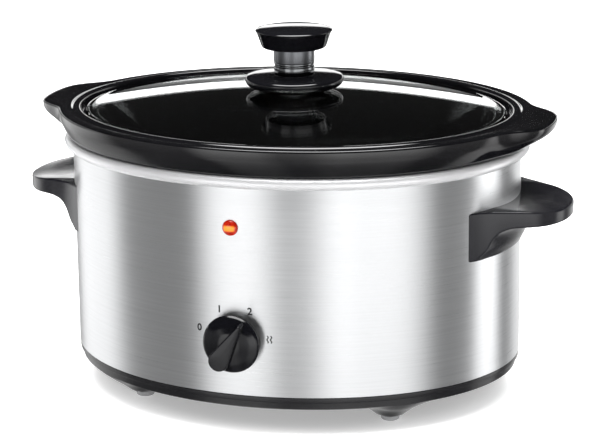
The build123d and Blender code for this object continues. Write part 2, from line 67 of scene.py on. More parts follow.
CASING_LOW, CASING_HIGH = span_mm("casing")
WELL_LOW, WELL_HIGH = span_mm("heating_well")
LID_LOW, LID_HIGH = span_mm("lid_glass")
CASING_A = CASING_HIGH.x
BEAD_A = WELL_HIGH.x
BEAD_TOP = WELL_HIGH.z
BEAD_HEIGHT = 7.4
LID_A = LID_HIGH.x
LID_APEX = LID_HIGH.z

# Places shared with the CAD that no box gives, in millimetres.

KNOB_Z = 62.0
LAMP_X = -1.5
LAMP_Z = 135.0
KNOB_REST = math.radians(-31)
BASE_SPLIT = 23.0           # where the base ring meets the underside
BASE_FLOOR = 16.0           # underside of the base between its feet

# ---- mesh helpers ----


def new_object(name, verts, faces, smooth_angle=35):
    """A mesh object from vertices in millimetres, smooth except over sharp edges."""
    mesh = bpy.data.meshes.new(name)
    mesh.from_pydata([tuple(c * MM for c in v) for v in verts], [], faces)
    mesh.validate()
    mesh.update()
    body = bmesh.new()
    body.from_mesh(mesh)
    bmesh.ops.remove_doubles(body, verts=body.verts, dist=1e-7)
    bmesh.ops.recalc_face_normals(body, faces=body.faces)
    body.to_mesh(mesh)
    body.free()
    mesh.shade_smooth()
    mesh.set_sharp_from_angle(angle=math.radians(smooth_angle))
    obj = bpy.data.objects.new(name, mesh)
    bpy.context.scene.collection.objects.link(obj)
    return obj


def rounded_path(points, steps=6):
    """A closed outline from (x, z, radius) corners, each rounded by an arc."""
    path = []
    count = len(points)
    for i, (x, z, radius) in enumerate(points):
        here = Vector((x, z))
        if radius <= 0:
            path.append((x, z))
            continue
        back = (Vector(points[i - 1][:2]) - here).normalized()
        ahead = (Vector(points[(i + 1) % count][:2]) - here).normalized()
        half = back.angle(ahead) / 2
        reach = radius / math.tan(half)
        centre = here + (back + ahead).normalized() * (radius / math.sin(half))
        start = here + back * reach - centre
        end = here + ahead * reach - centre
        turn = start.angle_signed(end)
        for k in range(steps + 1):
            way = start.copy()
            way.rotate(Matrix.Rotation(-turn * k / steps, 2))
            path.append(tuple(centre + way))
    return path


def turned(name, path, oval=1.0, around=AROUND, smooth_angle=35):
    """A closed outline of (radius, z) turned about Z, narrowed across Y by oval."""
    verts = []
    count = len(path)
    for step in range(around):
        turn = 2 * math.pi * step / around
        for radius, z in path:
            verts.append((radius * math.cos(turn), radius * oval * math.sin(turn), z))
    faces = []
    for step in range(around):
        base = step * count
        following = ((step + 1) % around) * count
        for k in range(count):
            ahead = (k + 1) % count
            faces.append((base + k, following + k, following + ahead, base + ahead))
    return new_object(name, verts, faces, smooth_angle)


def stacked(name, rings, smooth_angle=35):
    """Rings of equal length joined one to the next and closed at both ends by a fan."""
    verts = [point for ring in rings for point in ring]
    count = len(rings[0])
    faces = []
    for level in range(len(rings) - 1):
        low = level * count
        high = low + count
        for k in range(count):
            ahead = (k + 1) % count
            faces.append((low + k, low + ahead, high + ahead, high + k))
    for ring, first in ((rings[0], 0), (rings[-1], (len(rings) - 1) * count)):
        middle = len(verts)
        verts.append(tuple(sum(p[i] for p in ring) / count for i in range(3)))
        for k in range(count):
            faces.append((first + k, first + (k + 1) % count, middle))
    return new_object(name, verts, faces, smooth_angle)


def face_front(obj, height_mm, across_mm=0.0):
    """Turns a piece drawn about +Z so that it points to the front at a height."""
    place = Matrix.Translation((across_mm * MM, 0, height_mm * MM))
    obj.data.transform(place @ Matrix.Rotation(math.pi / 2, 4, "X"))
    return obj


def add_oval_uv(obj):
    """Unwraps an oval piece: U is the length round the oval, V is the height, both in metres."""
    layer = obj.data.uv_layers.new(name="wrap")
    around = 0.5 * (1 + OVAL)
    for poly in obj.data.polygons:
        angles = []
        for index in poly.loop_indices:
            co = obj.data.vertices[obj.data.loops[index].vertex_index].co
            angles.append(math.atan2(co.y / OVAL, co.x))
        top = max(angles)
        for index, angle in zip(poly.loop_indices, angles):
            if top - angle > math.pi:
                angle += 2 * math.pi
            co = obj.data.vertices[obj.data.loops[index].vertex_index].co
            layer.data[index].uv = (angle * around * CASING_A * MM, co.z)
    return obj


# ---- node helpers ----


class Nodes:
    """Short-hand for building one node tree."""

    def __init__(self, tree):
        self.tree = tree
        tree.nodes.clear()

    def add(self, kind, **settings):
        node = self.tree.nodes.new(kind)
        for key, value in settings.items():
            setattr(node, key, value)
        return node

    def link(self, source, target):
        self.tree.links.new(source, target)
        return target

    def math(self, operation, a, b=None, clamp=False):
        node = self.add("ShaderNodeMath", operation=operation, use_clamp=clamp)
        for socket, value in zip(node.inputs, (a, b)):
            if value is None:
                continue
            if isinstance(value, (int, float)):
                socket.default_value = value
            else:
                self.link(value, socket)
        return node.outputs[0]

    def smooth_step(self, value, low, high, out_low=0.0, out_high=1.0):
        node = self.add("ShaderNodeMapRange", interpolation_type="SMOOTHSTEP")
        self.link(value, node.inputs["Value"])
        node.inputs["From Min"].default_value = low
        node.inputs["From Max"].default_value = high
        node.inputs["To Min"].default_value = out_low
        node.inputs["To Max"].default_value = out_high
        return node.outputs["Result"]

    def noise(self, vector, scale, stretch=(1, 1, 1), detail=3.0, rough=0.5):
        mapping = self.add("ShaderNodeMapping")
        mapping.inputs["Scale"].default_value = stretch
        self.link(vector, mapping.inputs["Vector"])
        noise = self.add("ShaderNodeTexNoise")
        noise.inputs["Scale"].default_value = scale
        noise.inputs["Detail"].default_value = detail
        noise.inputs["Roughness"].default_value = rough
        self.link(mapping.outputs[0], noise.inputs["Vector"])
        return noise.outputs["Fac"]

    def ramp(self, value, low_colour, high_colour, low=0.3, high=0.7):
        ramp = self.add("ShaderNodeValToRGB")
        ramp.color_ramp.elements[0].position = low
        ramp.color_ramp.elements[1].position = high
        ramp.color_ramp.elements[0].color = (*low_colour, 1)
        ramp.color_ramp.elements[1].color = (*high_colour, 1)
        self.link(value, ramp.inputs[0])
        return ramp.outputs[0]

    def bump(self, height, strength, distance_mm, normal=None):
        bump = self.add("ShaderNodeBump")
        bump.inputs["Strength"].default_value = strength
        bump.inputs["Distance"].default_value = distance_mm * MM
        self.link(height, bump.inputs["Height"])
        if normal is not None:
            self.link(normal, bump.inputs["Normal"])
        return bump.outputs[0]


def shade(colour, factor):
    return tuple(min(1.0, c * factor) for c in colour)


def start_material(name):
    material = bpy.data.materials.new(name)
    material.use_nodes = True
    nodes = Nodes(material.node_tree)
    shader = nodes.add("ShaderNodeBsdfPrincipled")
    output = nodes.add("ShaderNodeOutputMaterial")
    nodes.link(shader.outputs[0], output.inputs["Surface"])
    return material, nodes, shader


def moulded(name, colour, rough, grain_mm=0.35, grain=0.12, wave=0.0, metal=0.0, vary=0.25, gloss=0.5):
    """Plastic, rubber, glaze or plain metal: fine grain, slow unevenness and a little colour change."""
    material, nodes, shader = start_material(name)
    place = nodes.add("ShaderNodeTexCoord").outputs["Object"]
    slow = nodes.noise(place, 22, detail=2)
    fine = nodes.noise(place, 1 / (grain_mm * MM), detail=2)
    colour_out = nodes.ramp(slow, shade(colour, 1 - vary), shade(colour, 1 + vary))
    nodes.link(colour_out, shader.inputs["Base Color"])
    scuffs = nodes.noise(place, 90, stretch=(1, 1, 0.4), detail=4)
    nodes.link(nodes.smooth_step(scuffs, 0.3, 0.75, rough * 0.85, rough * 1.25), shader.inputs["Roughness"])
    normal = nodes.bump(fine, grain, 0.03)
    if wave:
        normal = nodes.bump(nodes.noise(place, 45, detail=1), wave, 0.5, normal)
    nodes.link(normal, shader.inputs["Normal"])
    shader.inputs["Metallic"].default_value = metal
    shader.inputs["Specular IOR Level"].default_value = gloss
    return material


def brushed(name, colour, rough, anisotropy, lines=1.0, metal=1.0):
    """Metal with fine brush lines round the oval, from the wrap coordinates."""
    material, nodes, shader = start_material(name)
    wrap = nodes.add("ShaderNodeUVMap", uv_map="wrap").outputs[0]
    fine = nodes.noise(wrap, 1.0, stretch=(28, 5200, 1), detail=4, rough=0.7)
    broad = nodes.noise(wrap, 1.0, stretch=(9, 700, 1), detail=3, rough=0.6)
    cloud = nodes.noise(wrap, 14, detail=2)
    mixed = nodes.math("ADD", nodes.math("MULTIPLY", fine, 0.6), nodes.math("MULTIPLY", broad, 0.4))
    nodes.link(nodes.ramp(mixed, shade(colour, 1 - 0.14 * lines), shade(colour, 1 + 0.08 * lines)),
               shader.inputs["Base Color"])
    rough_out = nodes.math("ADD", nodes.smooth_step(mixed, 0.3, 0.7, rough * 0.82, rough * 1.15),
                           nodes.math("MULTIPLY", cloud, 0.04))
    nodes.link(rough_out, shader.inputs["Roughness"])
    nodes.link(nodes.bump(mixed, 0.10 * lines, 0.02), shader.inputs["Normal"])
    tangent = nodes.add("ShaderNodeTangent", direction_type="UV_MAP", uv_map="wrap")
    nodes.link(tangent.outputs[0], shader.inputs["Tangent"])
    shader.inputs["Metallic"].default_value = metal
    shader.inputs["Anisotropic"].default_value = anisotropy
    shader.inputs["Anisotropic Rotation"].default_value = 0.25
    return material


def clear_glass():
    material, nodes, shader = start_material("lid_clear_glass")
    place = nodes.add("ShaderNodeTexCoord").outputs["Object"]
    slow = nodes.noise(place, 9, detail=1)
    nodes.link(nodes.ramp(slow, (0.93, 0.97, 0.96), (0.97, 0.99, 0.985)), shader.inputs["Base Color"])
    nodes.link(nodes.smooth_step(nodes.noise(place, 60), 0.4, 0.8, 0.0, 0.015), shader.inputs["Roughness"])
    nodes.link(nodes.bump(slow, 0.05, 0.3), shader.inputs["Normal"])
    shader.inputs["Transmission Weight"].default_value = 1.0
    shader.inputs["IOR"].default_value = 1.5
    return material


def red_lens():
    """A dark red lens with the lamp's glow showing as a band across its middle."""
    material, nodes, shader = start_material("red_lens")
    place = nodes.add("ShaderNodeTexCoord").outputs["Object"]
    facets = nodes.noise(place, 700, detail=1)
    nodes.link(nodes.ramp(facets, (0.16, 0.004, 0.002), (0.28, 0.012, 0.004)), shader.inputs["Base Color"])
    nodes.link(nodes.bump(facets, 0.12, 0.1), shader.inputs["Normal"])
    axes = nodes.add("ShaderNodeSeparateXYZ")
    nodes.link(place, axes.inputs[0])
    across = nodes.math("ABSOLUTE", nodes.math("SUBTRACT", axes.outputs["X"], LAMP_X * MM))
    upward = nodes.math("ABSOLUTE", nodes.math("SUBTRACT", axes.outputs["Z"], LAMP_Z * MM))
    band = nodes.math("MULTIPLY", nodes.smooth_step(across, 4.3 * MM, 2.4 * MM),
                      nodes.smooth_step(upward, 2.5 * MM, 0.6 * MM))
    glow = nodes.ramp(band, (0.10, 0.001, 0.0), (1.0, 0.42, 0.03), 0.05, 0.85)
    nodes.link(glow, shader.inputs["Emission Color"])
    shader.inputs["Emission Strength"].default_value = 1.0
    shader.inputs["Roughness"].default_value = 0.06
    return material


def glowing(name, colour, strength):
    material, nodes, shader = start_material(name)
    place = nodes.add("ShaderNodeTexCoord").outputs["Object"]
    glow = nodes.ramp(nodes.noise(place, 500, detail=1), shade(colour, 0.75), colour)
    nodes.link(glow, shader.inputs["Base Color"])
    nodes.link(glow, shader.inputs["Emission Color"])
    shader.inputs["Emission Strength"].default_value = strength
    shader.inputs["Roughness"].default_value = 0.4
    return material


STEEL = brushed("brushed_steel_wrap", (0.80, 0.81, 0.82), 0.30, 0.85)
BEAD_STEEL = brushed("rolled_rim_steel", (0.66, 0.66, 0.67), 0.36, 0.3, lines=0.5, metal=0.6)
GLAZE = moulded("black_glaze", (0.003, 0.003, 0.0035), 0.05, grain_mm=2.5, grain=0.04, wave=0.06, gloss=0.55)
GLASS = clear_glass()
HANDLE_PLASTIC = moulded("handle_black", (0.007, 0.007, 0.009), 0.15, grain=0.06, gloss=0.40, vary=0.1)
KNOB_PLASTIC = moulded("knob_black", (0.003, 0.003, 0.004), 0.13, grain=0.05, gloss=0.35)
TOP_PLASTIC = moulded("lid_knob_black", (0.004, 0.004, 0.005), 0.06, grain=0.02, gloss=0.5)
BASE_PLASTIC = moulded("base_black", (0.006, 0.006, 0.007), 0.18, grain=0.06, gloss=0.35)
BAND_STEEL = moulded("band_satin_steel", (0.17, 0.175, 0.185), 0.3, grain_mm=0.2, metal=1.0, vary=0.05)
COLLAR_STEEL = moulded("collar_polished", (0.16, 0.165, 0.17), 0.07, grain_mm=0.6, grain=0.02,
                       metal=1.0, vary=0.04)
PAD_RUBBER = moulded("pad_rubber", (0.42, 0.42, 0.43), 0.55, grain_mm=0.5, grain=0.3)
GLAND_RUBBER = moulded("gland_rubber_black", (0.02, 0.02, 0.02), 0.6, grain_mm=0.4, grain=0.3)
PRINT = moulded("dial_print", (0.008, 0.008, 0.009), 0.6, grain=0.05, gloss=0.15)
LENS = red_lens()
GLOW = glowing("neon_glow", (1.0, 0.85, 0.30), 8.0)

HIDDEN_MATERIALS = {
    "zinc_steel": moulded("zinc_plate", (0.62, 0.63, 0.62), 0.35, metal=1.0, vary=0.08),
    "label_foil": moulded("blank_foil", (0.68, 0.69, 0.70), 0.4, metal=1.0, vary=0.05),
    "heater_mica": moulded("heater_mica", (0.50, 0.42, 0.28), 0.6, grain_mm=1.2, grain=0.4),
    "glass_fibre": moulded("glass_fibre", (0.80, 0.79, 0.72), 0.9, grain_mm=0.8, grain=0.6),
    "spring_steel": moulded("spring_steel", (0.42, 0.43, 0.44), 0.3, metal=1.0, vary=0.08),
    "fuse_metal": moulded("fuse_metal", (0.70, 0.70, 0.68), 0.35, metal=1.0, vary=0.08),
    "brass_tag": moulded("brass", (0.72, 0.55, 0.24), 0.3, metal=1.0, vary=0.1),
    "shaft_steel": moulded("turned_steel", (0.55, 0.56, 0.57), 0.25, metal=1.0, vary=0.06),
    "switch_nylon": moulded("switch_nylon", (0.75, 0.74, 0.70), 0.5),
    "switch_resin": moulded("switch_resin", (0.12, 0.07, 0.05), 0.55),
    "neon_glass": GLOW,
    "gland_rubber": GLAND_RUBBER,
    "block_ceramic": moulded("block_ceramic", (0.82, 0.80, 0.75), 0.25),
    "wire_brown": moulded("wire_brown", (0.16, 0.06, 0.03), 0.45),
    "wire_blue": moulded("wire_blue", (0.02, 0.08, 0.35), 0.45),
    "wire_green": moulded("wire_green", (0.16, 0.40, 0.05), 0.45),
    "silicone": moulded("silicone", (0.70, 0.70, 0.68), 0.55),
}


def finish_piece(obj, material, body, slot, *nodes):
    """Gives a piece its material and body, and hides the CAD nodes it stands for; its slot argument is not
    used.
    """
    obj.data.materials.clear()
    obj.data.materials.append(material)
    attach(obj, body)
    if nodes:
        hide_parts(*nodes)
    return obj


# ---- casing, bead and base ----


def build_casing():
    low = CASING_LOW.z
    high = BEAD_TOP - 1.4
    inner = CASING_A - 0.8
    path = rounded_path([
        (CASING_A, low, 0.35), (CASING_A, high, 0), (inner, high, 0), (inner, low + 0.3, 0),
    ])
    casing = add_oval_uv(turned("casing_wrap", path, OVAL))
    finish_piece(casing, STEEL, "root", "brushed_casing", "casing")


def build_well():
    """The liner with its rolled rim."""
    bottom = BEAD_TOP - BEAD_HEIGHT
    floor = WELL_LOW.z
    slope = 28.0 / (BEAD_TOP - floor - 1)
    outer = rounded_path([
        (0.01, floor + 1, 0), (112.0, floor + 1, 15), (140.0 - slope * 2, BEAD_TOP - 2, 0),
        (141.6, BEAD_TOP, 1.4), (BEAD_A - 0.01, BEAD_TOP, 3.66), (BEAD_A - 0.01, bottom, 3.66),
        (151.2, bottom, 0), (151.2, bottom + 1, 0),
        (BEAD_A - 1, bottom + 1, 2.6), (BEAD_A - 1, BEAD_TOP - 1, 2.6), (141.4, BEAD_TOP - 1, 0),
        (113.0, floor, 15), (0.01, floor, 0),
    ], steps=8)
    well = add_oval_uv(turned("heating_well_liner", outer, OVAL))
    finish_piece(well, BEAD_STEEL, "root", "well_steel", "heating_well")


def build_base():
    high = span_mm("base_ring")[1]
    top = CASING_LOW.z
    path = rounded_path([
        (high.x - 3.5, BASE_SPLIT, 0), (high.x - 0.05, BASE_SPLIT, 0.5), (high.x - 0.05, top, 0.3),
        (149.0, top, 0), (149.0 - 0.2, top + 4.8, 0.4), (147.0, top + 4.8, 0.4), (147.0, top, 0),
        (105.2, top, 0.5), (105.2, top - 2, 0.5), (high.x - 3.5, top - 2, 0),
    ], steps=4)
    ring = turned("base_band", path, OVAL)
    finish_piece(ring, BASE_PLASTIC, "root", "base_plastic", "base_ring")


def foot_sites():
    sites = {}
    for row in ("front", "rear"):
        for side in ("left", "right"):
            name = f"foot_pad_{row}_{side}"
            low, high = span_mm(name)
            sites[name] = (low + high) / 2
    return sites


def build_base_cover():
    """The moulded underside: a dished floor that swells down into four feet."""
    sites = foot_sites().values()
    wall_a = span_mm("base_cover")[1].x
    wall_t = 2.4
    floor_top = BASE_FLOOR + 2.6
    level_a = 139.0             # the floor is level inside this
    tip_r = 9.0                 # a foot is level inside this
    swell = 22.0                # and swells up to the floor over this

    def under(x, y):
        """Height of the outer surface at a place."""
        scaled = math.hypot(x, y / OVAL)
        z = BASE_FLOOR
        if scaled > level_a:
            z = BASE_FLOOR + 2.6 * min(1.0, (scaled - level_a) / (wall_a - level_a)) ** 1.6
        drop = 0.0
        for site in sites:
            away = math.hypot(x - site.x, y - site.y)
            if away <= tip_r:
                fall = 1.0
            else:
                fall = max(0.0, 1 - (away - tip_r) / swell)
                fall = fall ** 1.9 * (1 + 0.35 * (1 - fall))
            drop = max(drop, fall)
        return z - (z - 4.0) * min(1.0, drop)

    steps_out = 96
    verts = []
    for step in range(AROUND):
        turn = 2 * math.pi * step / AROUND
        cos_t, sin_t = math.cos(turn), math.sin(turn) * OVAL
        for k in range(1, steps_out + 1):
            x = wall_a * (k / steps_out) * cos_t
            y = wall_a * (k / steps_out) * sin_t
            verts.append((x, y, under(x, y)))
        edge_z = verts[-1][2]
        for a, z in ((wall_a, (edge_z + BASE_SPLIT) / 2), (wall_a, BASE_SPLIT),
                     (wall_a - wall_t, BASE_SPLIT), (wall_a - wall_t - 4, floor_top)):
            verts.append((a * cos_t, a * sin_t, z))
    faces = []
    count = len(verts) // AROUND
    bottom_centre = len(verts)
    top_centre = bottom_centre + 1
    verts += [(0, 0, BASE_FLOOR), (0, 0, floor_top)]
    for step in range(AROUND):
        here = step * count
        there = ((step + 1) % AROUND) * count
        for k in range(count - 1):
            faces.append((here + k, here + k + 1, there + k + 1, there + k))
    for step in range(AROUND):
        here = step * count
        there = ((step + 1) % AROUND) * count
        faces.append((here, there, bottom_centre))
        faces.append((here + count - 1, there + count - 1, top_centre))
    cover = new_object("base_underside", verts, faces, 40)
    finish_piece(cover, BASE_PLASTIC, "root", "base_plastic", "base_cover")


def build_foot_pads():
    for name, site in foot_sites().items():
        path = rounded_path([(0.01, 0, 0), (6.0, 0, 1.2), (6.0, 5.4, 0.2), (0.01, 5.4, 0)])
        pad = turned(name + "_rubber", path, 1.0, AROUND_SMALL)
        pad.data.transform(Matrix.Translation((site.x * MM, site.y * MM, 0)))
        finish_piece(pad, PAD_RUBBER, "root", "foot_rubber", name)


# ---- crock ----

LUG_REACH = 15.0
LUG_HALF_WIDTH = 36.0


def crock_ring(half_length, reach, z, around):
    ring = []
    for step in range(around):
        turn = 2 * math.pi * step / around
        y = half_length * OVAL * math.sin(turn)
        x = half_length * math.cos(turn)
        swell = reach * math.exp(-((abs(y) / LUG_HALF_WIDTH) ** 6))
        ring.append((x + math.copysign(swell, x) * (abs(x) > 1), y, z))
    return ring


def build_crock():
    """One closed glazed shell. Levels are (half length, height, lug share, corner radius)."""
    foot = BEAD_TOP + 0.3
    top = 186.5
    levels = [
        (80.0, 51.0, 0, 0), (109.0, 51.0, 0, 13), (137.4, foot + 1.2, 0, 1.0), (140.5, foot, 0, 1.2),
        (153.0, foot, 0.07, 1.2), (154.6, foot + 2.5, 0.3, 1.5), (156.2, foot + 5.5, 0.54, 2.5),
        (157.6, foot + 8.5, 0.79, 2.5), (158.6, foot + 11.1, 0.95, 2.5), (159.0, 182.4, 1.0, 2.0),
        (159.0, top, 1.0, 2.4), (153.0, top - 0.1, 0.5, 2.0), (150.6, top - 0.2, 0.0, 0.8),
        (149.0, top + 0.7, 0.0, 1.0), (144.2, top + 0.7, 0.0, 1.5), (143.35, 181.0, 0, 1.4),
        (131.5, 181.0, 0, 2.2), (103.0, 59.0, 0, 22), (80.0, 59.0, 0, 0),
    ]
    path = []
    for i, (a, z, lug, radius) in enumerate(levels):
        if radius <= 0 or i in (0, len(levels) - 1):
            path.append((a, z, lug))
            continue
        here = Vector((a, z, lug * 10))
        back = Vector((levels[i - 1][0], levels[i - 1][1], levels[i - 1][2] * 10)) - here
        ahead = Vector((levels[i + 1][0], levels[i + 1][1], levels[i + 1][2] * 10)) - here
        reach = min(radius, back.length * 0.48, ahead.length * 0.48)
        start = here + back.normalized() * reach
        end = here + ahead.normalized() * reach
        steps = 7
        for k in range(steps + 1):
            f = k / steps
            point = start * (1 - f) ** 2 + here * 2 * f * (1 - f) + end * f ** 2
            path.append((point.x, point.y, point.z / 10))
    rings = [crock_ring(a, lug * LUG_REACH, z, AROUND) for a, z, lug in path]
    crock = stacked("crock_glazed", rings, 50)
    finish_piece(crock, GLAZE, "crock", "black_glaze", "crock")


# ---- lid ----


def build_lid_glass():
    """A flat flange and a shallow dome, 4 mm thick throughout."""
    thick = 4.0
    low = LID_LOW.z
    flange = low + thick
    dome_a = LID_A - 4.0
    rise = LID_APEX - flange
    around_bolt = 3.0

    def upper(drop):
        points = [(LID_A - 1.6, flange - drop), (dome_a + 1.3, flange - drop)]
        steps = 48
        for k in range(steps + 1):
            a = (dome_a - 1.0) * (1 - k / steps)
            z = LID_APEX - rise * (a / dome_a) ** 2 * (1 + 0.04 * (1 - (a / dome_a) ** 2))
            points.append((max(a, around_bolt), z - drop))
            if a <= around_bolt:
                break
        return points

    rounding = [
        (LID_A - 0.7, flange - 0.2), (LID_A - 0.2, flange - 0.7), (LID_A, flange - 1.5),
        (LID_A, low + 1.1), (LID_A - 0.4, low + 0.3),
    ]
    path = list(reversed(upper(0))) + rounding + upper(thick)
    lid = turned("lid_clear_dome", path, OVAL, AROUND, 25)
    finish_piece(lid, GLASS, "lid", "lid_glass", "lid_glass")


def build_lid_knob():
    base_low, base_high = span_mm("lid_knob_base")
    band_low, band_high = span_mm("lid_knob_band")
    cap_low, cap_high = span_mm("lid_knob_cap")
    bolt = 2.6
    seat = base_low.z
    top = base_high.z
    wide = base_high.x
    edge = wide - 3.6
    crown = [(r, top - 1.5 * (r / edge) ** 2, 0) for r in (edge, 27, 24, 21, 18, 15.5, 13.4)]
    disc = turned("lid_knob_disc", rounded_path([
        (bolt, seat + 0.8, 0), (12.5, seat + 0.8, 0), (12.5, seat, 0.3), (24.0, seat + 0.3, 4),
        (30.8, seat + 3.0, 5), (wide, 203.4, 2.5), (wide, 206.3, 2.0), *crown, (bolt, top, 0),
    ], steps=10), 1.0, AROUND_SMALL * 2, 40)
    finish_piece(disc, TOP_PLASTIC, "lid", "knob_plastic", "lid_knob_base")
    r = span_mm("lid_knob_stem")[1].x
    stem = turned("lid_knob_collar", rounded_path([
        (bolt, top, 0), (r, top, 0.3), (r, 213.2, 0.3), (r - 0.7, 213.6, 0.2), (r - 0.7, 214.3, 0.2),
        (r, 214.7, 0.3), (r, band_low.z, 0.3), (10.5, band_low.z, 0), (10.5, band_high.z, 0),
        (bolt, band_high.z, 0),
    ], steps=4), 1.0, AROUND_SMALL)
    finish_piece(stem, COLLAR_STEEL, "lid", "knob_plastic", "lid_knob_stem")
    r = band_high.x
    band = turned("lid_knob_ferrule", rounded_path([
        (10.55, band_low.z, 0), (r, band_low.z, 0.35), (r, band_high.z, 0.35), (10.55, band_high.z, 0),
    ]), 1.0, AROUND_SMALL)
    finish_piece(band, BAND_STEEL, "lid", "band_steel", "lid_knob_band")
    r = cap_high.x
    edge = r - 0.9
    crown = [(a, cap_high.z - 1.3 * (a / edge) ** 2, 0) for a in (edge, 22.5, 20, 17, 14, 11, 8, 5, 2.5)]
    cap = turned("lid_knob_grip", rounded_path([
        (4.0, cap_low.z, 0), (r - 4.4, cap_low.z, 2.4), (r - 0.9, cap_high.z - 3.6, 2.0),
        (r, cap_high.z - 2.4, 0.7), (r - 0.1, cap_high.z - 1.9, 0.3), *crown,
        (0.01, cap_high.z, 0), (0.01, cap_low.z + 9.5, 0), (4.0, cap_low.z + 9.5, 0),
    ], steps=8), 1.0, AROUND_SMALL * 2, 40)
    finish_piece(cap, TOP_PLASTIC, "lid", "knob_plastic", "lid_knob_cap")


# ---- handles ----


def smooth_curve(points, start_way, end_way, steps=12):
    """Points on a smooth curve through the given ones, with the given ways at its two ends."""
    places = [Vector(p) for p in points]
    last = len(places) - 1
    ways = [Vector(start_way).normalized()]
    for i in range(1, last):
        before = places[i] - places[i - 1]
        after = places[i + 1] - places[i]
        blend = before.normalized() * after.length + after.normalized() * before.length
        ways.append(blend.normalized())
    ways.append(Vector(end_way).normalized())
    line = []
    for i in range(last):
        chord = (places[i + 1] - places[i]).length
        for k in range(steps):
            f = k / steps
            line.append(places[i] * (1 + 2 * f) * (1 - f) ** 2 + places[i + 1] * f * f * (3 - 2 * f)
                        + ways[i] * chord * f * (1 - f) ** 2 - ways[i + 1] * chord * f * f * (1 - f))
    line.append(places[-1])
    return line


def along(line, t):
    """The point at t in 0..1 of the way along a line of points."""
    place = min(max(t, 0.0), 1.0) * (len(line) - 1)
    i = min(int(place), len(line) - 2)
    return line[i].lerp(line[i + 1], place - i)


def height_at(line, x):
    """Height at x on a line of (x, z) points, level beyond its ends."""
    if x <= line[0].x:
        return line[0].y
    for start, end in zip(line, line[1:]):
        if x <= end.x:
            return start.y + (end.y - start.y) * (x - start.x) / (end.x - start.x)
    return line[-1].y


HANDLE_ROOT = (132.9, 57.0)     # where the plan leaves the casing
HANDLE_CORNER = (177.0, 27.9)   # where the plan's side turns into its nose
HANDLE_SIDE = smooth_curve([HANDLE_ROOT, (143.5, 48.2), (157, 41.2), (171, 33.9), HANDLE_CORNER],
                           (0.74, -0.68), (0.61, -0.79))
HANDLE_NOSE = smooth_curve([HANDLE_CORNER, (182, 20.4), (186.3, 0)], (0.61, -0.79), (0, -1))
HANDLE_TOP = smooth_curve([(132, 136.4), (160, 135.7), (175, 134.4), (192, 131.6)], (1, 0), (1, -0.2))
SCOOP = smooth_curve([(151.5, 105), (154.3, 111), (156.4, 117.5), (159, 121.8), (168, 124.7)],
                     (0.3, 1), (1, 0))


def handle_plan(u, v):
    """Plan of the handle: u is 0 at the root and 1 at the nose, v runs from -1 to 1 across."""
    side = along(HANDLE_SIDE, u)
    root_angle = math.asin(HANDLE_ROOT[1] / (CASING_A * OVAL)) * v
    root = Vector((CASING_A * math.cos(root_angle), CASING_A * OVAL * math.sin(root_angle)))
    nose_half = along(HANDLE_NOSE, 1 - abs(v))
    nose = Vector((nose_half.x, math.copysign(nose_half.y, v)))
    across = Vector((side.x, side.y * v))
    corner_root = Vector((HANDLE_ROOT[0], HANDLE_ROOT[1] * v))
    corner_tip = Vector((HANDLE_CORNER[0], HANDLE_CORNER[1] * v))
    return across + (root - corner_root) * (1 - u) + (nose - corner_tip) * u


def handle_heights(point):
    scaled = math.hypot(point.x, point.y / OVAL)
    return height_at(HANDLE_TOP, scaled), height_at(SCOOP, scaled)


def build_handle(name, node, turned_about):
    edge_mm = 1.3
    dish_x, dish_reach, dish_half_width, dish_depth = 152, 32.0, 36.0, 1.6
    rows = [0.5 - 0.5 * math.cos(math.pi * k / 40) for k in range(41)]
    columns = [math.sin(math.pi / 2 * k / 22) for k in range(-22, 23)]
    grid = []
    for u in rows:
        line = []
        for v in columns:
            line.append(handle_plan(u, v))
        grid.append(line)

    def drop(i, j):
        """How far the rounded edge has fallen at a grid point."""
        point = grid[i][j]
        near = min((point - grid[i][0]).length, (point - grid[i][-1]).length, (point - grid[-1][j]).length)
        near = min(near, edge_mm)
        return edge_mm - math.sqrt(edge_mm ** 2 - (edge_mm - near) ** 2)

    def dish(point):
        """A shallow dish in the top of the grip."""
        along_x = max(0.0, 1 - ((point.x - dish_x) / dish_reach) ** 2)
        across_y = max(0.0, 1 - (point.y / dish_half_width) ** 2)
        return dish_depth * along_x * across_y

    verts = []
    for lower in (0, 1):
        for i in range(len(rows)):
            for j in range(len(columns)):
                point = grid[i][j]
                top, bottom = handle_heights(point)
                if lower:
                    z = min(bottom + drop(i, j), top - 2)
                else:
                    z = top - drop(i, j) - dish(point)
                verts.append((point.x, point.y, z))
    width = len(columns)
    size = len(rows) * width
    faces = []
    for i in range(len(rows) - 1):
        for j in range(width - 1):
            a = i * width + j
            faces.append((a, a + 1, a + width + 1, a + width))
            b = a + size
            faces.append((b, b + width, b + width + 1, b + 1))
    rim = [i * width for i in range(len(rows))]
    rim += [(len(rows) - 1) * width + j for j in range(1, width)]
    rim += [i * width + width - 1 for i in reversed(range(len(rows) - 1))]
    rim += [j for j in reversed(range(1, width - 1))]
    for k, a in enumerate(rim):
        b = rim[(k + 1) % len(rim)]
        faces.append((a, b, b + size, a + size))
    piece = new_object(name, verts, faces, 40)
    if turned_about:
        piece.data.transform(Matrix.Rotation(math.pi, 4, "Z"))
    finish_piece(piece, HANDLE_PLASTIC, "root", "handle_plastic", node)


# ---- control knob, dial and lamp ----


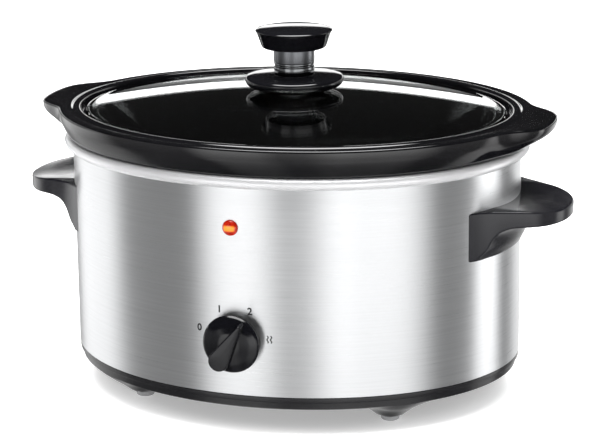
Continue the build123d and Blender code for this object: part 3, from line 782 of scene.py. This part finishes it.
def grip_ring(spread, z, around=72):
    """Plan of the knob's grip: a wide round tail and a narrow pointer."""
    tail_y, tail_r = -10.8, 6.5 + spread
    tip_y, tip_r = 15.4, 1.2 + spread
    lean = math.asin((tail_r - tip_r) / (tip_y - tail_y))
    ring = []
    tail_steps = 2 * around // 3
    tip_steps = around - tail_steps
    for k in range(tip_steps):
        angle = lean + (math.pi - 2 * lean) * k / (tip_steps - 1)
        ring.append((tip_r * math.cos(angle), tip_y + tip_r * math.sin(angle), z))
    for k in range(tail_steps):
        angle = math.pi - lean + (math.pi + 2 * lean) * k / (tail_steps - 1)
        ring.append((tail_r * math.cos(angle), tail_y + tail_r * math.sin(angle), z))
    return ring


def build_control_knob():
    back, face, front = 124.0, 131.5, 139.0
    disc = turned("control_knob_disc", rounded_path([
        (0.01, face + 3.5, 0), (7.0, face + 3.2, 16), (13.0, face + 1.8, 16), (17.4, face - 0.1, 2.5),
        (18.65, face - 1.6, 0.8), (16.6, back, 0.4), (14.6, back, 0.3), (14.6, face - 1.6, 0.5),
        (0.01, face - 1.6, 0),
    ], steps=10), 1.0, AROUND_SMALL * 2, 45)
    rings = [grip_ring(0.75, face - 4), grip_ring(0.1, front - 1.0), grip_ring(-0.05, front - 0.45),
             grip_ring(-0.4, front - 0.1), grip_ring(-0.75, front - 0.02)]
    grip = stacked("control_knob_grip", rings, 40)
    for piece in (disc, grip):
        piece.data.transform(Matrix.Rotation(KNOB_REST, 4, "Z"))
        face_front(piece, KNOB_Z)
    finish_piece(disc, KNOB_PLASTIC, "control", "knob_plastic", "control_knob")
    finish_piece(grip, KNOB_PLASTIC, "control", "knob_plastic")
    line = stacked("control_knob_pointer", [
        [(x, y, z) for x, y in ((-0.3, 10.5), (0.3, 10.5), (0.3, 15.2), (-0.3, 15.2))]
        for z in (front - 0.3, front + 0.0)
    ])
    line.data.transform(Matrix.Rotation(KNOB_REST, 4, "Z"))
    face_front(line, KNOB_Z)
    finish_piece(line, KNOB_PLASTIC, "control", "knob_plastic")


def on_casing(x_mm, z_mm, lift_mm):
    """A frame on the front of the casing: X along the surface, Y up, Z outward."""
    b = CASING_A * OVAL
    y = -b * math.sqrt(1 - (x_mm / CASING_A) ** 2)
    normal = Vector((x_mm / CASING_A ** 2, y / b ** 2, 0)).normalized()
    side = Vector((0, 0, 1)).cross(normal)
    place = Vector((x_mm, y, z_mm)) * MM + normal * lift_mm * MM
    matrix = Matrix((side, Vector((0, 0, 1)), normal)).transposed().to_4x4()
    matrix.translation = place
    return matrix


def dial_number(text, angle, radius):
    curve = bpy.data.curves.new("dial_" + text, "FONT")
    curve.body = text
    curve.size = 6.3 * MM
    curve.offset = 0.16 * MM
    curve.align_x = "CENTER"
    curve.align_y = "CENTER"
    curve.extrude = 0.02 * MM
    holder = bpy.data.objects.new("dial_text_" + text, curve)
    bpy.context.scene.collection.objects.link(holder)
    bpy.context.view_layer.update()
    mesh = bpy.data.meshes.new_from_object(holder)
    bpy.data.objects.remove(holder)
    mark = bpy.data.objects.new("dial_mark_" + text, mesh)
    bpy.context.scene.collection.objects.link(mark)
    x = radius * math.sin(angle)
    z = KNOB_Z + radius * math.cos(angle)
    mesh.transform(on_casing(x, z, 0.05))
    finish_piece(mark, PRINT, "root", "knob_plastic")


def warm_mark(angle, radius):
    """The keep-warm sign: two rising waves."""
    width, height, step = 0.8, 4.8, 2.2
    verts, faces = [], []
    for wave in (-0.5, 0.5):
        for k in range(17):
            f = k / 16
            y = (f - 0.5) * height
            x = wave * step + 0.4 * math.sin(f * 3.2 * math.pi)
            first = len(verts)
            for z in (-0.02, 0.02):
                verts.append((x - width / 2, y, z))
                verts.append((x + width / 2, y, z))
            if k:
                faces.append((first - 4, first - 3, first + 1, first))
                faces.append((first - 2, first + 2, first + 3, first - 1))
                faces.append((first - 4, first, first + 2, first - 2))
                faces.append((first - 3, first - 1, first + 3, first + 1))
        base = len(verts) - 68
        faces.append((base, base + 2, base + 3, base + 1))
        faces.append((len(verts) - 4, len(verts) - 3, len(verts) - 1, len(verts) - 2))
    mark = new_object("dial_mark_warm", verts, faces)
    x = radius * math.sin(angle)
    z = KNOB_Z + radius * math.cos(angle)
    mark.data.transform(on_casing(x, z, 0.04))
    finish_piece(mark, PRINT, "root", "knob_plastic")


DIAL_MARKS = (("0", -75, 24.6), ("1", -26.5, 22.1), ("2", 27.5, 22.3))
WARM_ANGLE = math.radians(84)


def build_dial():
    for text, degrees, radius in DIAL_MARKS:
        dial_number(text, math.radians(degrees), radius)
    warm_mark(WARM_ANGLE, 22.6)


def build_lamp():
    seat = CASING_A * OVAL + 0.1
    lens = turned("indicator_dome", rounded_path([
        (0.01, seat + 3.0, 0), (2.6, seat + 2.7, 1.5), (4.6, seat + 1.3, 1.2), (5.2, seat + 0.1, 0.3),
        (4.5, seat + 0.1, 0), (4.5, seat - 8.0, 0), (3.5, seat - 8.0, 0), (3.5, seat - 1.0, 0),
        (0.01, seat - 0.6, 0),
    ]), 1.0, 64, 45)
    face_front(lens, LAMP_Z, LAMP_X)
    finish_piece(lens, LENS, "root", "lens_red", "indicator_lens")
    glow = turned("neon_electrodes", rounded_path([
        (0.01, -2.9, 0), (1.1, -2.9, 1.0), (1.1, 2.9, 1.0), (0.01, 2.9, 0),
    ]), 1.0, 32)
    place = Matrix.Translation((0, 0, (seat - 2.6) * MM))
    glow.data.transform(place @ Matrix.Rotation(math.pi / 2, 4, "Y"))
    face_front(glow, LAMP_Z, LAMP_X)
    finish_piece(glow, GLOW, "root", "neon_glass", "neon_lamp")


def build_gland():
    wall = CASING_A * OVAL
    low, high = span_mm("cord_gland")
    z = (low.z + high.z) / 2
    ribs = []
    for k in range(4):
        y = wall + 4.4 + k * 2.6
        r = 7.5 - 0.28 * k
        ribs += [(r, y, 0.3), (r, y + 1.3, 0.3), (r - 0.9, y + 1.6, 0.2), (r - 0.9, y + 2.3, 0.2)]
    path = rounded_path([
        (3.5, wall - 5, 0), (7.3, wall - 5, 0.4), (7.3, wall + 0.1, 0), (10.0, wall + 0.1, 0.3),
        (10.0, wall + 2.4, 0.8), (7.6, wall + 2.8, 0.4), *ribs,
        (6.2, wall + 14.9, 0.5), (3.5, wall + 14.9, 0.4),
    ], steps=3)
    gland = turned("cord_gland_boot", path, 1.0, 64)
    gland.data.transform(Matrix.Translation((0, 0, z * MM)) @ Matrix.Rotation(-math.pi / 2, 4, "X"))
    finish_piece(gland, GLAND_RUBBER, "root", "gland_rubber", "cord_gland")


def dress_cad_nodes():
    """Gives every carried-over CAD node its procedural material."""
    slots = {row["node"]: row["material_slot"] for row in frame["record"]["subparts"]}
    for node, obj in frame["nodes"].items():
        material = HIDDEN_MATERIALS.get(slots[node])
        if material is None:
            continue
        obj.data.materials.clear()
        obj.data.materials.append(material)


# ---- stage, light and camera ----

CAMERA_AZIMUTH = math.radians(18.57)
CAMERA_ELEVATION = math.radians(14.96)
CAMERA_ROLL = math.radians(-0.70)
CAMERA_DISTANCE = 1.5816
CAMERA_LENS = 142.5


def build_camera():
    azimuth, elevation = CAMERA_AZIMUTH, CAMERA_ELEVATION
    back = Vector((math.sin(azimuth) * math.cos(elevation), -math.cos(azimuth) * math.cos(elevation),
                   math.sin(elevation)))
    level = Vector((math.cos(azimuth), math.sin(azimuth), 0))
    upright = back.cross(level)
    right = level * math.cos(CAMERA_ROLL) + upright * math.sin(CAMERA_ROLL)
    up = upright * math.cos(CAMERA_ROLL) - level * math.sin(CAMERA_ROLL)
    target = Vector((0, 0, 0.110)) + right * 0.00254 - up * 0.00062
    data = bpy.data.cameras.new("camera")
    data.lens = CAMERA_LENS
    data.sensor_width = 36
    data.clip_end = 60
    camera = bpy.data.objects.new("camera", data)
    matrix = Matrix((right, up, back)).transposed().to_4x4()
    matrix.translation = target + back * CAMERA_DISTANCE
    camera.matrix_world = matrix
    bpy.context.scene.collection.objects.link(camera)
    bpy.context.scene.camera = camera


# Upright soft panels round the set: degrees from the front towards +X, half width, softness, strength.
PANELS = [
    (-108, 12, 22, 0.85),
    (-19, 8, 13, 1.00),
    (14, 8, 14, 0.35),
    (44, 14, 22, 0.95),
    (120, 6, 11, 1.15),
    (-176, 14, 26, 0.55),
]
FLOOR_GLOW = 0.35
ROOM_LEVEL = 1.95           # scales the panels and what lies between them
AMBIENT = 0.8               # even light on matt surfaces
SURROUND = 0.21             # brightness between the panels
OVERHEAD = 12.0             # softbox straight above
CARD = 2.6                  # low white card behind the set
BACK_AZIMUTH = -161.4       # middle of the card, degrees from the front


def world_level(nodes):
    """Brightness of the studio by direction: panels, dark ground behind, overhead softbox and card."""
    way = nodes.add("ShaderNodeTexCoord").outputs["Generated"]
    flat = nodes.add("ShaderNodeVectorMath", operation="MULTIPLY")
    nodes.link(way, flat.inputs[0])
    flat.inputs[1].default_value = (1, 1, 0)
    unit = nodes.add("ShaderNodeVectorMath", operation="NORMALIZE")
    nodes.link(flat.outputs[0], unit.inputs[0])
    height = nodes.add("ShaderNodeSeparateXYZ")
    nodes.link(way, height.inputs[0])

    def facing(degrees):
        angle = math.radians(degrees)
        dot = nodes.add("ShaderNodeVectorMath", operation="DOT_PRODUCT")
        nodes.link(unit.outputs[0], dot.inputs[0])
        dot.inputs[1].default_value = (math.sin(angle), -math.cos(angle), 0)
        return dot.outputs["Value"]

    total = None
    for degrees, half, soft, strength in PANELS:
        outer = math.cos(math.radians(half + soft))
        inner = math.cos(math.radians(max(half - soft, 0.0)))
        panel = nodes.smooth_step(facing(degrees), outer, inner, 0, strength)
        total = panel if total is None else nodes.math("ADD", total, panel)
    total = nodes.math("MULTIPLY", nodes.math("ADD", total, SURROUND), ROOM_LEVEL)
    up = height.outputs[2]
    behind = nodes.smooth_step(facing(BACK_AZIMUTH), math.cos(math.radians(80)), math.cos(math.radians(60)))
    level = nodes.smooth_step(up, 0.10, 0.0)
    lower = nodes.smooth_step(up, -0.50, -0.10, 0.45, 1.0)
    lower = nodes.math("MULTIPLY", lower, nodes.smooth_step(up, -0.90, -0.62, 0.25, 1.0))
    total = nodes.math("MULTIPLY", total, nodes.math("MULTIPLY", level, lower))
    charcoal = nodes.math("MULTIPLY", nodes.smooth_step(up, -0.20, -0.12, 0.0, 0.85), behind)
    total = nodes.math("MULTIPLY", total, nodes.math("SUBTRACT", 1.0, charcoal))
    total = nodes.math("ADD", total, 0.015)
    total = nodes.math("ADD", total, nodes.smooth_step(up, 0.88, 0.92, 0, OVERHEAD))
    card_top = nodes.smooth_step(up, 0.175, 0.150)
    card_foot = nodes.smooth_step(up, 0.060, 0.072)
    card = nodes.math("MULTIPLY", nodes.math("MULTIPLY", card_top, card_foot), behind)
    return nodes.math("ADD", total, nodes.math("MULTIPLY", card, CARD))


def build_world():
    """Mirror-like surfaces reflect the studio; matt ones get an even light and the camera a white ground."""
    world = bpy.data.worlds.new("studio")
    bpy.context.scene.world = world
    world.use_nodes = True
    nodes = Nodes(world.node_tree)
    path = nodes.add("ShaderNodeLightPath")
    even = nodes.math("MULTIPLY", path.outputs["Is Diffuse Ray"], AMBIENT)
    not_diffuse = nodes.math("SUBTRACT", 1.0, path.outputs["Is Diffuse Ray"])
    mirrored = nodes.math("MULTIPLY", world_level(nodes), not_diffuse)
    studio = nodes.add("ShaderNodeBackground")
    nodes.link(nodes.math("ADD", even, mirrored), studio.inputs["Strength"])
    studio.inputs["Color"].default_value = (1, 1, 1, 1)
    plain = nodes.add("ShaderNodeBackground")
    plain.inputs["Color"].default_value = (1, 1, 1, 1)
    plain.inputs["Strength"].default_value = 1.0
    mix = nodes.add("ShaderNodeMixShader")
    nodes.link(path.outputs["Is Camera Ray"], mix.inputs[0])
    nodes.link(studio.outputs[0], mix.inputs[1])
    nodes.link(plain.outputs[0], mix.inputs[2])
    output = nodes.add("ShaderNodeOutputWorld")
    nodes.link(mix.outputs[0], output.inputs["Surface"])


def area_light(name, place, aim, size, power):
    """A soft light for matt surfaces, kept out of reflections and out of the glass."""
    data = bpy.data.lights.new(name, "AREA")
    data.shape = "RECTANGLE"
    data.size, data.size_y = size
    data.energy = power
    light = bpy.data.objects.new(name, data)
    light.location = place
    light.visible_glossy = False
    light.visible_transmission = False
    light.rotation_euler = (Vector(aim) - Vector(place)).to_track_quat("-Z", "Y").to_euler()
    bpy.context.scene.collection.objects.link(light)


def floor_material():
    """Pale paper with a faint glow of its own, to meet the white ground without an edge."""
    material, nodes, shader = start_material("pale_floor")
    place = nodes.add("ShaderNodeTexCoord").outputs["Object"]
    tone = nodes.ramp(nodes.noise(place, 3, detail=2), (0.90, 0.90, 0.90), (0.93, 0.93, 0.93))
    nodes.link(tone, shader.inputs["Base Color"])
    shader.inputs["Roughness"].default_value = 0.9
    shader.inputs["Specular IOR Level"].default_value = 0.0
    shader.inputs["Emission Color"].default_value = (1, 1, 1, 1)
    shader.inputs["Emission Strength"].default_value = FLOOR_GLOW
    return material


def build_stage():
    size = 14.0
    mesh = bpy.data.meshes.new("floor")
    corners = [(-size, -size, 0), (size, -size, 0), (size, size, 0), (-size, size, 0)]
    mesh.from_pydata(corners, [], [(0, 1, 2, 3)])
    floor = bpy.data.objects.new("floor", mesh)
    bpy.context.scene.collection.objects.link(floor)
    mesh.materials.append(floor_material())
    floor.visible_glossy = False
    area_light("key", (-0.9, -1.6, 2.2), (0, 0, 0.1), (1.6, 1.6), 26)
    area_light("fill", (1.8, -1.0, 1.8), (0, 0, 0.1), (1.4, 1.4), 14)
    area_light("back", (0.2, 2.2, 2.0), (0, 0, 0.1), (2.0, 1.0), 22)


build_camera()
build_world()
build_stage()
build_casing()
build_well()
build_base()
build_base_cover()
build_foot_pads()
build_crock()
build_lid_glass()
build_lid_knob()
build_handle("handle_right_grip", "handle_right", False)
build_handle("handle_left_grip", "handle_left", True)
build_control_knob()
build_dial()
build_lamp()
build_gland()
dress_cad_nodes()
bpy.context.scene.view_settings.view_transform = "Standard"
